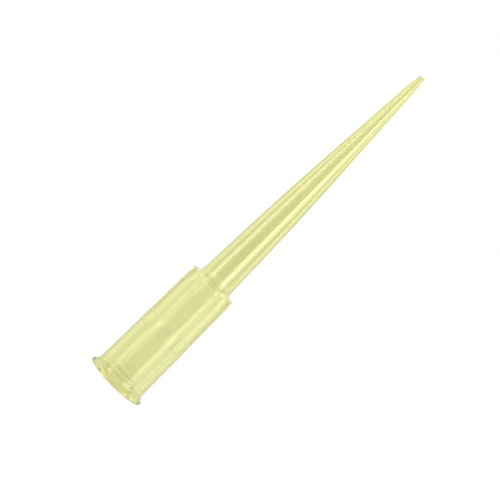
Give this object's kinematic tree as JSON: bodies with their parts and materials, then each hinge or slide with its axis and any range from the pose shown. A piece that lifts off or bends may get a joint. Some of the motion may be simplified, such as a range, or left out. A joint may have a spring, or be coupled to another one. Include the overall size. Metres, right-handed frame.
{
  "type": "pipette tip",
  "caption": "Slender translucent pipette tip with a stepped collar, a flared mouth that takes a pipette's nozzle, and a fine open point.",
  "frame": {"origin": "centre of the rim's face at the mouth, which the tip stands on", "axes": "+Z along the tip's axis, from the mouth to the narrow end; X and Y are alike, because the tip is round"},
  "size_m": [0.0078, 0.0078, 0.051],
  "materials": {
    "tip_plastic": "translucent yellow polypropylene, smooth as moulded, slightly hazy"
  },
  "bodies": {
    "root": {"tip_body": "tip_plastic"}
  },
  "joints": []
}
